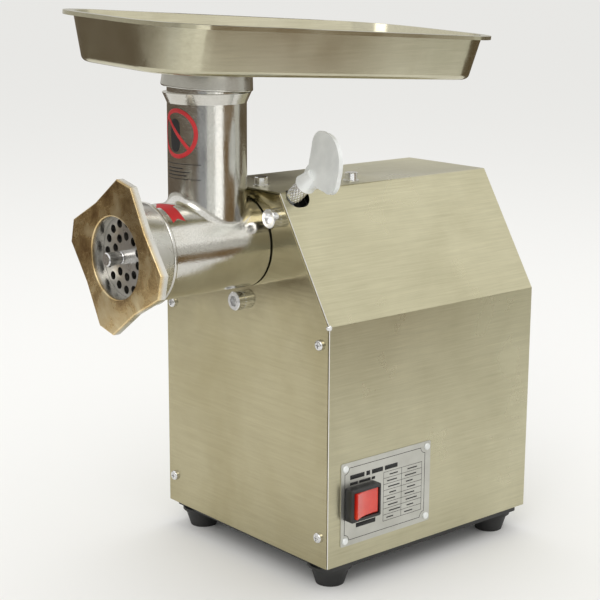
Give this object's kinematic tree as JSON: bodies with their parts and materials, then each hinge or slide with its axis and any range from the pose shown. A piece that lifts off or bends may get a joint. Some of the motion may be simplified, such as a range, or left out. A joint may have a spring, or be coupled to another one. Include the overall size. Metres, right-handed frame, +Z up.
{
  "type": "electric meat grinder",
  "caption": "Electric meat grinder: folded stainless housing on rubber feet, removable head with auger, knife, plate and lugged ring nut, feeding tray, clamp screw and rocker switch.",
  "frame": {"origin": "on the floor, in the middle of the housing and of its four feet", "axes": "+Z up, the head and its ring nut point to -Y, the switch is on the +X side"},
  "size_m": [0.2216, 0.3778, 0.4491],
  "materials": {
    "stainless_sheet": "brushed stainless sheet",
    "polished_casting": "polished casting",
    "stained_casting": "polished casting with brown stain",
    "zinc_fastener": "bright zinc plating",
    "satin_casting": "satin cast metal",
    "tool_steel": "ground steel",
    "machined_steel": "machined steel",
    "cast_gearbox": "sand-cast aluminium",
    "black_paint": "black paint",
    "motor_paint": "dark paint",
    "laminations": "varnished laminations",
    "copper_winding": "enamelled copper",
    "black_rubber": "moulded rubber",
    "bronze": "sintered bronze",
    "black_plastic": "moulded plastic",
    "red_plastic": "glossy translucent red",
    "white_plastic": "moulded plastic",
    "label_sheet": "printed aluminium sheet"
  },
  "bodies": {
    "housing": {"housing_cover": "stainless_sheet", "front_panel": "stainless_sheet", "rear_panel": "stainless_sheet", "front_panel_screws": "zinc_fastener", "rear_panel_screws": "zinc_fastener", "base_plate": "black_paint", "rubber_feet": "black_rubber", "foot_screws": "zinc_fastener", "foot_nuts": "zinc_fastener", "gearbox_case": "cast_gearbox", "gearbox_cover": "cast_gearbox", "cover_screws": "zinc_fastener", "flange_bolts": "zinc_fastener", "top_bolts": "zinc_fastener", "output_seal": "black_rubber", "output_front_bearing": "machined_steel", "output_tail_bearing": "machined_steel", "intermediate_bearings": "machined_steel", "motor_shell": "motor_paint", "stator_core": "laminations", "stator_windings": "copper_winding", "motor_front_bell": "cast_gearbox", "motor_rear_bell": "cast_gearbox", "rotor_bearings": "machined_steel", "through_bolts": "zinc_fastener", "motor_support": "black_paint", "support_screws": "zinc_fastener", "run_capacitor": "satin_casting", "capacitor_clamp": "zinc_fastener", "terminal_block": "white_plastic", "switch_body": "black_plastic", "label_plate": "label_sheet", "label_rivets": "satin_casting", "cord_gland": "black_plastic", "gland_nut": "black_plastic"},
    "motor_rotor": {"motor_shaft": "machined_steel", "rotor_core": "laminations", "cooling_fan": "black_plastic"},
    "intermediate": {"intermediate_shaft": "machined_steel", "intermediate_gear": "machined_steel"},
    "output": {"output_spindle": "machined_steel", "output_gear": "machined_steel"},
    "head": {"head_casting": "polished_casting", "head_seal": "black_rubber", "auger_bush": "bronze", "plate_key": "tool_steel", "perforated_plate": "tool_steel"},
    "auger": {"auger": "tool_steel", "thrust_washer": "white_plastic", "knife": "tool_steel"},
    "ring_nut": {"ring_nut": "stained_casting"},
    "tray": {"tray_pan": "stainless_sheet", "tray_collar": "stainless_sheet"},
    "clamp_screw": {"wing_screw": "satin_casting"},
    "rocker": {"rocker": "red_plastic"}
  },
  "joints": [
    {"name": "motor_spin", "type": "hinge", "parent": "housing", "child": "motor_rotor", "pos_m": [0, 0, 0.1778], "axis": [0, 1, 0], "continuous": true},
    {"name": "intermediate_spin", "type": "hinge", "parent": "housing", "child": "intermediate", "pos_m": [0, 0, 0.2213], "axis": [0, 1, 0], "continuous": true},
    {"name": "output_spin", "type": "hinge", "parent": "housing", "child": "output", "pos_m": [0, 0, 0.2683], "axis": [0, 1, 0], "continuous": true},
    {"name": "head_slide", "type": "slide", "parent": "housing", "child": "head", "axis": [0, -1, 0], "range_m": [0, 0.045]},
    {"name": "auger_spin", "type": "hinge", "parent": "head", "child": "auger", "pos_m": [0, 0, 0.2683], "axis": [0, 1, 0], "continuous": true},
    {"name": "ring_nut_turn", "type": "hinge", "parent": "head", "child": "ring_nut", "pos_m": [0, 0, 0.2683], "axis": [0, -1, 0], "range_deg": [0, 1020]},
    {"name": "tray_lift", "type": "slide", "parent": "head", "child": "tray", "axis": [0, 0, 1], "range_m": [0, 0.06]},
    {"name": "clamp_screw_turn", "type": "hinge", "parent": "housing", "child": "clamp_screw", "pos_m": [0.06313, -0.1035, 0.31905], "axis": [0.7793, 0, 0.6266], "range_deg": [0, 720]},
    {"name": "rocker_tip", "type": "hinge", "parent": "housing", "child": "rocker", "pos_m": [0.1103, -0.0817, 0.07175], "axis": [0, 0, 1], "range_deg": [-18, 0]}
  ],
  "couplings": [
    {"joint": "intermediate_spin", "follows": "motor_spin", "ratio": -0.31818},
    {"joint": "output_spin", "follows": "motor_spin", "ratio": 0.12166},
    {"joint": "auger_spin", "follows": "motor_spin", "ratio": 0.12166}
  ]
}
